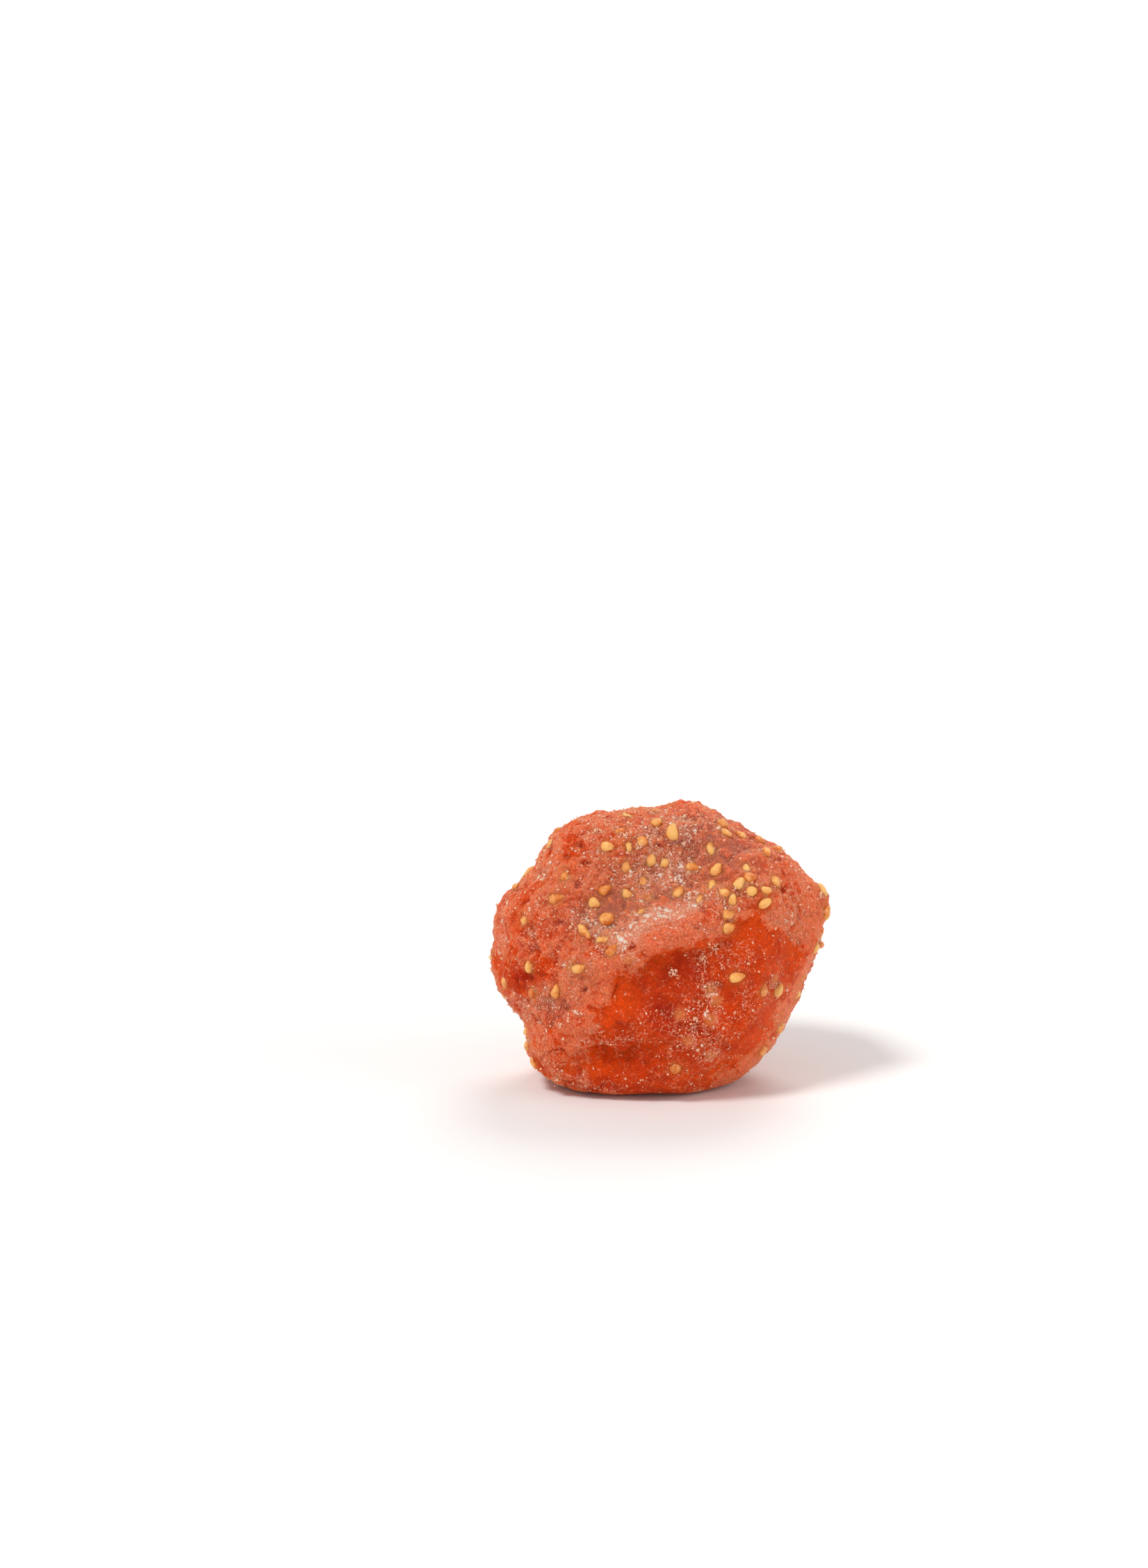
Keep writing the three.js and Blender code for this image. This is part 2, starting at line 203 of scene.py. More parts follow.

# Each finish, from 0 to 1: its places on the broad face, what the forms there add, its level and drift where
# the photograph does not show the fruit, and what the forms of the whole skin add. Deep is partly painted
# shade and painted glow, and bloom is partly painted light.
FINISHES_AND_PAINTED_LIGHT = {
    "bloom": {
        "places": BLOOM_AND_PAINTED_LIGHT_PLACES,
        # Painted light and shade, partly: bloom is added on the fold's lip, on cobbles, knobs and the
        # outline's rim (most on the smooth rim low on the right), and taken away in the fold, pits, holes and
        # creases. So raised flesh and edges are lighter and hollows darker.
        "face": {"all": 0.62, "belly": -1.1, "lip": 0.7, "fold": -0.3},
        "unseen": (0.55, 0.5),
        "skin": {
            "soft cloud": 0.45, "cobble": 0.42, "knob": 0.25, "smooth rim": 0.35, "rim": 0.1,
            "pit": -0.6, "hole": -1.6, "crease": -0.3,
        },
    },
    "frost": {
        "places": FROST_PLACES,
        "face": {"all": 0.22, "belly": -0.06},
        "unseen": (0.3, 0.35),
        "skin": {"cloud": 0.22, "smooth rim": -0.2, "crease": 0.2},
    },
    "mauve": {
        "places": MAUVE_PLACES,
        "face": {"belly": -0.9},
        "unseen": (0.15, -0.6),
        "skin": {"cloud": 0.2},
    },
    "deep": {
        # Painted shade, partly: deeper red on the belly, under the crest's step and in pits, holes and
        # creases, and less on raised cobbles.
        "places": DEEP_RED_SHADE_AND_GLOW_PLACES,
        "face": {"belly": 0.3, "belly step": 0.25},
        "unseen": (0.06, -0.3),
        "skin": {"pit": 0.9, "hole": 2.0, "crease": 0.3, "cobble": -0.25},
    },
}

# The flesh round a seed, in millimetres: how much it rises, at which distance and how widely, how strong the
# film over the seed is and how far it reaches, and how much frost lies in a ring round the seed.
ROUND_SUNK_SEED = {"rise": 0.16, "at": 0.0, "width": 0.6, "film": 1.0, "reach": 0.54, "frost": 0.3}
ROUND_FREE_SEED = {"rise": 0.11, "at": 0.72, "width": 0.26, "film": 0.4, "reach": 0.85, "frost": 0.0}
FROST_RING = (0.66, 0.2)

FOOT_FADE = 1.0 * MM  # the fine relief dies out this near the floor

SEED_STEPS = 3  # squares along each side of a seed's patches
SEED_TAPER = 0.22  # how much narrower one end of a seed is, and how much wider the other
SEED_SIZES = (0.72, 1.22)  # least and most of the length, the width and the thickness
SEED_DEPTHS = (0.6, 1.4)  # least and most of how far a seed is sunk
SEED_KNOB = (0.11 * MM, 0.55 * MM)  # height, and how far apart
SEED_CRUMB = (0.07 * MM, 0.24 * MM)
# How amber a seed is: by its own number, on top (paler on the outward side as painted light, and more amber
# toward the flesh as painted shade), at its tip, how far it is sunk, on its knobs (paler on raised knobs as
# painted light), and all over.
SEED_TONES_AND_PAINTED_LIGHT = {"own": 1.3, "top": -0.6, "tip": 0.3, "sink": 1 / MM, "knob": -0.45, "all": 0.2}
SEED_DRAW = 91

# Larger sugar crystals that stand on the broad face: the middle, the spread, how many grains and how white.
SUGAR_CLUSTERS = [
    ((1.33, -2.14), 0.2, 26, 0.55), ((3.0, -6.03), 0.1, 9, 0.3), ((4.69, -0.3), 0.14, 12, 0.5),
    ((3.8, -1.2), 0.2, 16, 0.1), ((-7.37, -5.77), 0.11, 10, 1.0), ((-8.8, -6.9), 0.1, 8, 0.4),
    ((-14.0, 3.75), 0.1, 9, 1.0), ((-3.16, 9.38), 0.24, 30, 0.6), ((-14.2, -0.7), 0.12, 8, 0.6),
    ((-5.5, 10.1), 0.26, 22, 0.4), ((-10.4, 6.2), 0.2, 16, 0.6), ((13.9, 4.4), 0.12, 10, 0.5),
]
CLUSTER_SIZES = (0.06, 0.17)
CLUSTER_SHAPE = (1.1, 0.9, 0.2)  # how wide a cluster is along the skin, across it and out of it
CLUSTER_WHITENESS = 0.35
SUGAR = {
    "draw": 5,
    "clumps": 0.9 * MM,  # how far apart clumps of grains stand
    "bare": 0.06,  # chance of a grain where there is no frost
    "between clumps": 0.12,
    "above floor": 0.6 * MM,
    "stray": 0.06 * MM,
    "fineness": 3.0,
    "whiteness": (0.05, 0.3),  # middle and spread
    "sides": (0.35, 1.5),
    "bent corners": 0.14,
    "proud": 0.15,
}

FLOOR_SIZE = 60.0
PHOTO_SIZE = (1652, 2256)
PHOTO_FRUIT = (951, 1361)  # pixel of the photograph that shows the middle of the fruit's outline
PHOTO_SCALE = 16.37 / MM  # pixels of the photograph to a metre at the fruit
SENSOR = 36 * MM  # along the picture's long side
NEAREST_SEEN = 0.01


def linear(hex_colour):
    """An sRGB colour, such as #C8482A, as linear red, green and blue."""
    channels = [int(hex_colour[k : k + 2], 16) / 255 for k in (1, 3, 5)]
    return [c / 12.92 if c <= 0.04045 else ((c + 0.055) / 1.055) ** 2.4 for c in channels]


def opaque(colour):
    """A linear colour with the fourth number that a colour socket takes."""
    return (*colour, 1.0)


def colour_setting(name, description, hex_colour):
    """A colour that a user can change."""
    return bpy.props.FloatVectorProperty(
        name=name, description=description, size=3, subtype="COLOR", default=linear(hex_colour)
    )


def length_setting(name, description, metres):
    """A length that a user can change."""
    return bpy.props.FloatProperty(name=name, description=description, default=metres, unit="LENGTH")


class FleshSettings(bpy.types.PropertyGroup):
    """Sizes and colours of the flesh."""

    lean: bpy.props.FloatProperty(
        name="Lean", description="How far the broad face leans back", default=radians(15), subtype="ANGLE"
    )
    front_depth: length_setting("Front depth", "From the outline to the broad face", 9.6 * MM)
    back_depth: length_setting("Back depth", "From the outline to the back", 9.0 * MM)
    foot_height: length_setting("Foot height", "From the floor to the outline's middle", 11.5 * MM)
    lump_height: length_setting("Lumps", "Height of the largest lumps", 0.6 * MM)
    crease_depth: length_setting("Creases", "Depth of the fine creases", 0.2 * MM)
    pit_depth: length_setting("Pits", "Depth of the small pits", 0.34 * MM)
    steps: bpy.props.IntProperty(name="Steps", description="Squares along each side of a patch", default=126)
    red: colour_setting("Red", "Clear flesh", "#E24C08")
    # Deep red is partly the flesh's own colour and partly painted shade in folds, pits, creases and low on
    # the belly.
    deep: colour_setting("Deep red", "Flesh in folds and pits", "#B02404")
    # Haze on the fold's lip, on raised flesh and along the outline's rim is partly painted light.
    haze: colour_setting("Haze", "Flesh under sugar bloom", "#E87850")
    mauve: colour_setting("Mauve", "Flesh of the hull hollow", "#C06A52")
    veil: colour_setting("Veil", "Flesh under a pale veil of sugar", "#F4A486")
    fleck: colour_setting("Fleck", "Flecks of sugar on the flesh", "#FFC0A0")
    spark: colour_setting("Spark", "The cleanest flecks of sugar", "#FFF0E0")
    film: colour_setting("Film", "Flesh over a sunk seed", "#DC824A")


class SeedSettings(bpy.types.PropertyGroup):
    """Sizes and colours of the seeds."""

    length: length_setting("Length", "Length of a seed", 1.42 * MM)
    width: length_setting("Width", "Width of a seed", 0.92 * MM)
    thickness: length_setting("Thickness", "Thickness of a seed", 0.9 * MM)
    gold: colour_setting("Gold", "Pale seeds", "#FFBE68")
    amber: colour_setting("Amber", "Dark seeds", "#DC6E10")
    dust: colour_setting("Dust", "Sugar dust on seeds", "#FFD49C")


class SugarSettings(bpy.types.PropertyGroup):
    """Amount, sizes and colours of the sugar."""

    grains: bpy.props.IntProperty(name="Grains", description="Number of sugar grains", default=11000)
    smallest: length_setting("Smallest", "Size of a small grain", 0.045 * MM)
    largest: length_setting("Largest", "Size of a large grain", 0.17 * MM)
    white: colour_setting("White", "Clean sugar", "#FFE8D8")
    peach: colour_setting("Peach", "Stained sugar", "#F6B48C")


class StageSettings(bpy.types.PropertyGroup):
    """The camera, the lights and the floor."""

    lens: bpy.props.FloatProperty(name="Lens", description="Focal length", default=85, unit="CAMERA")
    elevation: bpy.props.FloatProperty(
        name="Elevation", description="How far the camera looks down", default=radians(15), subtype="ANGLE"
    )
    top_light: bpy.props.FloatProperty(
        name="Top light", description="Strength of the light from above and in front", default=1.7
    )
    back_light: bpy.props.FloatProperty(
        name="Back light", description="Strength of the light from above and behind", default=1.0
    )
    side_light: bpy.props.FloatProperty(
        name="Side light", description="Strength of the light from the right", default=0.6
    )
    sky: bpy.props.FloatProperty(
        name="Sky", description="Strength of the even light from high up", default=0.42
    )
    floor: colour_setting("Floor", "Colour of the floor", "#F4F2F0")


class Seed(NamedTuple):
    """A seed of the fruit: the turn is in degrees, and a covered seed lies under the flesh."""

    direction: np.ndarray
    turn: float
    sink: float
    scale: float
    covered: bool


def drawn(draw, count):
    """Numbers from 0 to 1 by a linear congruence, the same as the solid's draws."""
    state = draw
    numbers = np.empty(count)
    for k in range(count):
        state = (state * 1664525 + 1013904223) % 2**32
        numbers[k] = state / 2**32
    return numbers


def spiral_directions(count, numbers, shift):
    """Directions on a spiral from pole to pole, a golden turn apart, each shifted a little by its numbers."""
    k = np.arange(count)
    height = 1 - (2 * k + 1) / count
    ring = np.sqrt(1 - height**2)
    golden = k * pi * (3 - np.sqrt(5))
    directions = np.stack([ring * np.cos(golden), ring * np.sin(golden), height], axis=1)
    directions += shift * (numbers.reshape(count, 3) - 0.5)
    return unit(directions)


def between(limits, share):
    """The value at a share of the way from the lower to the upper limit."""
    low, high = limits
    return low + (high - low) * share


def bell(gap, at, width):
    """A bell curve of a distance, with its top at one distance: a ring, or a bump where that is 0."""
    return np.exp(-(((gap - at) / width) ** 2))


def weighed(shares, forms):
    """The sum of forms, each times its share."""
    return sum(share * forms[name] for name, share in shares.items())


def blend_step(value, low, high):
    """0 below low and 1 above high, with a smooth rise between them."""
    t = np.clip((value - low) / (high - low), 0, 1)
    return t * t * (3 - 2 * t)


def outline_radius(angle):
    """Radius of the outline at an angle, by a smooth closed curve through the listed radii."""
    count = len(OUTLINE_RADII)
    place = (angle / TURN + 1) * count
    first = np.floor(place).astype(int)
    t = place - first
    a, b, c, d = (OUTLINE_RADII[(first + k) % count] for k in (-1, 0, 1, 2))
    return b + 0.5 * t * (c - a + t * (2 * a - 5 * b + 4 * c - d + t * (3 * (b - c) + d - a)))


def across_and_along(x, y, at, turn):
    """How far points lie along a turned line through a place, and across it."""
    dx, dy = x - at[0] * MM, y - at[1] * MM
    c, s = cos(radians(turn)), sin(radians(turn))
    return dx * c + dy * s, dy * c - dx * s


def oval(x, y, at, reach, turn):
    """A bump that is 1 in its middle and dies out along its long and its short reach like a bell curve."""
    along, across = across_and_along(x, y, at, turn)
    return np.exp(-((along / (reach[0] * MM)) ** 2) - (across / (reach[1] * MM)) ** 2)


def placed_by_eye(marks, x, y):
    """The sum of oval marks on a face, each times what it adds."""
    return sum(amount * oval(x, y, at, reach, turn) for at, reach, turn, amount in marks)


def lump_height(directions, height):
    """The sum of small bell-shaped lumps and pits that stand on a spiral of directions."""
    count = LUMPS["count"]
    numbers = drawn(LUMPS["draw"], 5 * count)
    middles = spiral_directions(count, numbers[: 3 * count], LUMPS["shift"])
    own = numbers[3 * count :].reshape(count, 2)
    spread = between(LUMPS["spread"], own[:, 0])
    gap = (1 - directions @ middles.T) / spread**2
    return np.exp(-gap) @ (height * (2 * own[:, 1] - 1))


def rounded_floor(height):
    """The larger of a height and 0, with a rounded turn between them."""
    near = np.maximum(FOOT_ROUNDING - np.abs(height), 0) / FOOT_ROUNDING
    return np.maximum(height, 0) + near**2 * FOOT_ROUNDING / 4


def skin(flesh, directions):
    """Points of the coarse skin, and their places on the broad face or the back.

    A direction's angle gives the outline's radius, and its slant shares that radius and the depth between
    them. Oval bumps and small lumps are added, the face leans back, and what is under the floor is cut off
    with a rounded turn.
    """
    x, y, z = directions.T
    front = z > 0
    fullness = np.where(front, FRONT_FULLNESS, BACK_FULLNESS)
    angle = np.arctan2(y, x)
    out = outline_radius(angle) * np.hypot(x, y) ** fullness
    places = np.stack([out * np.cos(angle), out * np.sin(angle)])
    dents = [MM * placed_by_eye(relief.values(), *places) for relief in (FRONT_RELIEF, BACK_RELIEF)]
    relief = np.where(front, *dents)
    depth = np.where(front, flesh.front_depth, flesh.back_depth) * np.abs(z) ** fullness
    deep = np.sign(z) * (depth + relief * blend_step(np.abs(z), 0, RELIEF_FADE))
    lump = lump_height(directions, flesh.lump_height)
    across, up, deep = (part + lump * way for part, way in zip((*places, deep), (x, y, z)))
    rise, run = sin(flesh.lean), cos(flesh.lean)
    points = np.stack([
        across - MIDDLE[0],
        up * rise - deep * run - MIDDLE[1],
        rounded_floor(up * run + deep * rise + flesh.foot_height),
    ], axis=1)
    return points, places


def face_directions(x, y):
    """Directions that lead to places of the broad face."""
    angle = np.arctan2(y, x)
    share = np.minimum(np.hypot(x, y) / outline_radius(angle), 0.999)
    flat = share ** (1 / FRONT_FULLNESS)
    return np.stack([flat * np.cos(angle), flat * np.sin(angle), np.sqrt(1 - flat**2)], axis=1)


def unit(vectors):
    """Vectors of length 1."""
    return vectors / np.linalg.norm(vectors, axis=-1, keepdims=True)


def skin_frames(flesh, directions):
    """Places on the coarse skin and their ways along it, across it and out of it, as a matrix's columns."""
    up = unit(np.array([0.0, 1.0, 0.0]) - directions * directions[:, 1:2])
    side = np.cross(up, directions)
    slopes = []
    for way in (side, up):
        ahead, _ = skin(flesh, unit(directions + SLOPE_STEP * way))
        behind, _ = skin(flesh, unit(directions - SLOPE_STEP * way))
        slopes.append(unit(ahead - behind))
    out = unit(np.cross(*slopes))
    across = np.cross(out, slopes[0])
    points, places = skin(flesh, directions)
    return points, places, np.stack([slopes[0], across, out], axis=2)


def seed_places(flesh):
    """Every seed: first those listed, then drawn ones that keep their distance from all others."""
    seeds = []
    for places, sink, covered in (
        (PROUD_SEEDS, PROUD_SINK, False),
        (LEVEL_SEEDS, LEVEL_SINK, False),
        (SUNK_SEEDS, LEVEL_SINK, True),
    ):
        x, y, turns = np.array(places, dtype=float).T
        for direction, turn in zip(face_directions(x * MM, y * MM), turns):
            seeds.append(Seed(direction, turn, sink, 1.0, covered))
    points, _ = skin(flesh, np.array([seed.direction for seed in seeds]))
    taken = list(points)
    count = SCATTER["places"]
    numbers = drawn(SCATTER["draw"], 6 * count)
    tries = spiral_directions(count, numbers[: 3 * count], SCATTER["shift"])
    points, _ = skin(flesh, tries)
    for direction, point, (a, b, c) in zip(tries, points, numbers[3 * count :].reshape(count, 3)):
        crowded = np.linalg.norm(np.array(taken) - point, axis=1).min() < SCATTER["spacing"]
        if crowded or direction[2] > SCATTER["open face"] or point[2] < SCATTER["clearance"]:
            continue
        taken.append(point)
        sink, scale = between(SCATTER["sink"], b), between(SCATTER["scale"], c)
        seeds.append(Seed(direction, 360 * a, sink, scale, False))
    return seeds


def mixed_bits(cells, draw):
    """A whole number under 2**32 for each lattice cell: its coordinates are multiplied, mixed and shifted."""
    x, y, z = (cells[..., k].astype(np.uint32) for k in range(3))
    bits = x * np.uint32(0x9E3779B1) ^ y * np.uint32(0x85EBCA77) ^ z * np.uint32(0xC2B2AE3D)
    bits ^= np.uint32(draw * 0x27D4EB2F % 2**32)
    for shift, factor in ((15, 0x2C1B3C6D), (12, 0x297A2D39), (15, 0x85EBCA6B)):
        bits ^= bits >> np.uint32(shift)
        bits *= np.uint32(factor)
    return bits ^ (bits >> np.uint32(16))


def three_draws(cells, draw):
    """Three numbers from 0 to 1 for each lattice cell."""
    bits = mixed_bits(cells, draw)
    return np.stack([(bits >> np.uint32(10 * k)) % np.uint32(1024) / 1023 for k in range(3)], axis=-1)


def noise(points, cell, draw):
    """Smooth noise from about -1 to 1: each lattice corner draws a slope, and the slopes are blended."""
    scaled = points / cell
    base = np.floor(scaled).astype(np.int64)
    part = scaled - base
    ease = part**3 * (part * (part * 6 - 15) + 10)
    total = np.zeros(len(points))
    for corner in product((0, 1), repeat=3):
        slope = 2 * three_draws(base + corner, draw) - 1
        weight = np.where(corner, ease, 1 - ease).prod(axis=1)
        total += weight * (slope * (part - corner)).sum(axis=1)
    return 1.5 * total


def layered_noise(points, cell, draw, layers, share):
    """Noise with finer and lower noise on top."""
    return sum(share**k * noise(points, cell / 2**k, draw + k) for k in range(layers))


def nearest_spot(points, cell, draw):
    """Distance to the nearest of the spots, one drawn in each cube of space, and that spot's own number."""
    scaled = points / cell
    base = np.floor(scaled).astype(np.int64)
    nearest = np.full(len(points), 9.0)
    number = np.zeros(len(points))
    for corner in product((-1, 0, 1), repeat=3):
        cells = base + corner
        spot = cells + three_draws(cells, draw)
        gap = np.linalg.norm(scaled - spot, axis=1)
        closer = gap < nearest
        nearest = np.where(closer, gap, nearest)
        number = np.where(closer, three_draws(cells, draw + 1)[:, 0], number)
    return nearest * cell, number


def under_edge(edge, x, y):
    """How far points lie under an edge that runs from left to right through listed points."""
    across, up = (MM * np.array(values, dtype=float) for values in edge)
    return np.interp(x, across, up) - y


def drop_under(under, drop, x, y):
    """A drop that sets in at an edge and comes back slowly under it like a bell curve, inside an oval."""
    start = blend_step(under, drop["start"] * MM, drop["full"] * MM)
    return start * bell(under, 0, drop["back"] * MM) * oval(x, y, *drop["oval"])


def broad_face_forms(points, places, facing):
    """How strongly each form of the broad face shows at points.

    The clear belly starts at the crest's edge, sharply on the right and softly on the left, and ends before
    the outline. The rim follows the outline and is smooth on the right. Noise makes edges and holes waver.
    """
    x, y = places
    front = blend_step(facing, 0.0, 0.3)
    share = np.hypot(x, y) / outline_radius(np.arctan2(y, x))
    waver = 0.4 * MM * noise(points, 2.4 * MM, draw=41) + 0.3 * MM * noise(points, 0.8 * MM, draw=42)
    under_crest = under_edge(CREST_EDGE, x, y) + waver
    softness = (0.7 + 2.2 * blend_step(-x, -1 * MM, 4 * MM)) * MM
    belly = front * blend_step(under_crest / softness, -0.3, 1.2) * (1 - blend_step(share, 0.86, 1.02))
    belly = belly * blend_step(x + 0.4 * y, -10.5 * MM, -6.5 * MM)
    under_fold = under_edge(FOLD_EDGE, x, y) + waver
    lip = bell(under_fold, -FOLD_LIP["above"] * MM, FOLD_LIP["width"] * MM)
    rim = blend_step(share, 0.82, 0.98) * blend_step(facing, -0.15, 0.12)
    bent = 0.3 * MM * noise(points, 0.6 * MM, draw=44)
    step = front * drop_under(under_crest, CREST_DROP, x, y)
    return {
        "all": 1.0,
        "front": front,
        "belly": belly,
        "step": step,
        "belly step": belly * step,
        "fold": front * drop_under(under_fold, FOLD_DROP, x, y),
        "lip": front * lip * oval(x, y, *FOLD_LIP["oval"]),
        "rim": rim,
        "smooth rim": rim * blend_step(x - y, 5 * MM, 12 * MM),
        "hole": front * placed_by_eye(HOLES, x + bent, y - bent),
        "shoulder rim": oval(x, y, *SHOULDER_RIM),
    }


def whole_skin_forms(points, belly, smooth_rim):
    """How strongly each form of the whole skin shows at points. The belly and the smooth rim are calmer.

    Creases run where a slow noise is near 0. Pits and knobs stand on drawn spots, pits only on a few of them.
    Cobbles and grain are noise, and so are the cloud and the drift, which only change the finishes.
    """
    calm = np.clip(1 - 0.7 * belly - 0.65 * smooth_rim, 0.1, 1)
    slow = layered_noise(points, 3.4 * MM, draw=11, layers=2, share=0.55)
    crease = bell(slow, 0, 0.09) * blend_step(noise(points, 5.5 * MM, draw=61), -0.3, 0.3)
    cobble = layered_noise(points, 1.6 * MM, draw=21, layers=4, share=0.62)
    warp = np.stack([noise(points, 1.1 * MM, draw=45 + k) for k in range(3)], axis=1)
    gap, number = nearest_spot(points + 0.35 * MM * warp, 2.3 * MM, draw=51)
    pit = bell(gap, 0, between((0.24 * MM, 0.5 * MM), number)) * (number > 0.72)
    gap, number = nearest_spot(points, 1.15 * MM, draw=53)
    knob = np.clip(1 - (gap / (0.62 * MM)) ** 2, 0, 1) * between((0.4, 1.0), number)
    cloud = layered_noise(points, 2.4 * MM, draw=71, layers=4, share=0.62)
    return {
        "crease": crease * calm,
        "pit": pit * calm,
        "cobble": cobble,
        "calm cobble": cobble * calm,
        "calm grain": noise(points, 0.45 * MM, draw=31) * calm,
        "knob": (knob - 0.4) * calm,
        "low knob": (knob - 0.3) * calm**2,
        "cloud": cloud,
        "soft cloud": cloud * (1 - 0.5 * belly),
        "drift": layered_noise(points, 6.0 * MM, draw=91, layers=2, share=0.5),
    }


def fine_relief(flesh, points, places, facing):
    """Height of the fine relief over the coarse skin, and how strongly each finish shows there.

    The height is the sum of the forms. A finish is the sum of its marks and forms on the broad face, a level
    with drift where the photograph does not show the fruit, and the forms of the whole skin.
    """
    forms = broad_face_forms(points, places, facing)
    forms.update(whole_skin_forms(points, forms["belly"], forms["smooth rim"]))
    height = weighed(FORM_HEIGHTS, forms)
    height -= flesh.crease_depth * forms["crease"] + flesh.pit_depth * forms["pit"]
    marks = {"film": np.zeros(len(points))}
    for name, finish in FINISHES_AND_PAINTED_LIGHT.items():
        face = placed_by_eye(finish["places"], *places) + weighed(finish["face"], forms)
        level, drift = finish["unseen"]
        unseen = level + drift * forms["drift"]
        amount = forms["front"] * face + (1 - forms["front"]) * unseen + weighed(finish["skin"], forms)
        marks[name] = np.clip(amount, 0, 1)
    return height, marks


def ball_grid(steps):
    """Directions and quads of a ball: six square grids, spaced by a tangent and joined at their edges."""
    line = np.tan(np.linspace(-1, 1, steps + 1) * pi / 4)
    u, v = np.meshgrid(line, line, indexing="ij")
    sheets = []
    for axis, side in product(range(3), (-1, 1)):
        sheet = np.empty((steps + 1, steps + 1, 3))
        sheet[..., axis] = side
        sheet[..., (axis + 1) % 3] = side * u
        sheet[..., (axis + 2) % 3] = v
        sheets.append(sheet.reshape(-1, 3))
    corners = np.round(np.concatenate(sheets), 9)
    corners, where = np.unique(corners, axis=0, return_inverse=True)
    where = where.reshape(6, steps + 1, steps + 1)
    quads = np.stack([where[:, :-1, :-1], where[:, 1:, :-1], where[:, 1:, 1:], where[:, :-1, 1:]], axis=-1)
    return unit(corners), quads.reshape(-1, 4)


def corner_normals(points, faces):
    """The way out at each corner: the sum of the crossed diagonals of the quads that meet there."""
    a, b, c, d = (points[faces[:, k]] for k in range(4))
    crossed = np.cross(c - a, d - b)
    total = np.zeros_like(points)
    for k in range(4):
        np.add.at(total, faces[:, k], crossed)
    return unit(total)


def mesh_object(name, points, faces, marks, material):
    """A piece from corners, faces of one size, and named values at the corners."""
    mesh = bpy.data.meshes.new(name)
    sides = faces.shape[1]
    mesh.vertices.add(len(points))
    mesh.vertices.foreach_set("co", points.astype(np.float32).ravel())
    mesh.loops.add(faces.size)
    mesh.loops.foreach_set("vertex_index", faces.astype(np.int32).ravel())
    mesh.polygons.add(len(faces))
    mesh.polygons.foreach_set("loop_start", np.arange(0, faces.size, sides, dtype=np.int32))
    mesh.update(calc_edges=True)
    mesh.validate()
    for mark, values in marks.items():
        layer = mesh.attributes.new(mark, "FLOAT", "POINT")
        layer.data.foreach_set("value", values.astype(np.float32))
    mesh.materials.append(material)
    piece = bpy.data.objects.new(name, mesh)
    bpy.context.scene.collection.objects.link(piece)
    return piece


def add(tree, kind, inputs=None, output=0, **settings):
    """Adds a node, sets its fields, gives its sockets values or links, and returns one of its outputs."""
    node = tree.nodes.new(kind)
    for name, value in settings.items():
        setattr(node, name, value)
    for name, value in (inputs or {}).items():
        if isinstance(value, bpy.types.NodeSocket):
            tree.links.new(value, node.inputs[name])
        else:
            node.inputs[name].default_value = value
    return node.outputs[output] if node.outputs else None


def new_material(name):
    """An empty node material and its tree."""
    material = bpy.data.materials.new(name)
    material.use_nodes = True
    material.node_tree.nodes.clear()
    return material, material.node_tree


def in_millimetres(tree):
    """The piece's own coordinates in millimetres."""
    place = add(tree, "ShaderNodeTexCoord", output="Object")
    return add(tree, "ShaderNodeMapping", {"Vector": place, "Scale": (1 / MM, 1 / MM, 1 / MM)})


def swayed(tree, value, pattern, strength, middle=0.5):
    """A value plus how far a pattern is from its middle times a strength."""
    sway = add(tree, "ShaderNodeMath", {0: pattern, 1: middle}, operation="SUBTRACT")
    return add(tree, "ShaderNodeMath", {0: sway, 1: strength, 2: value}, operation="MULTIPLY_ADD")


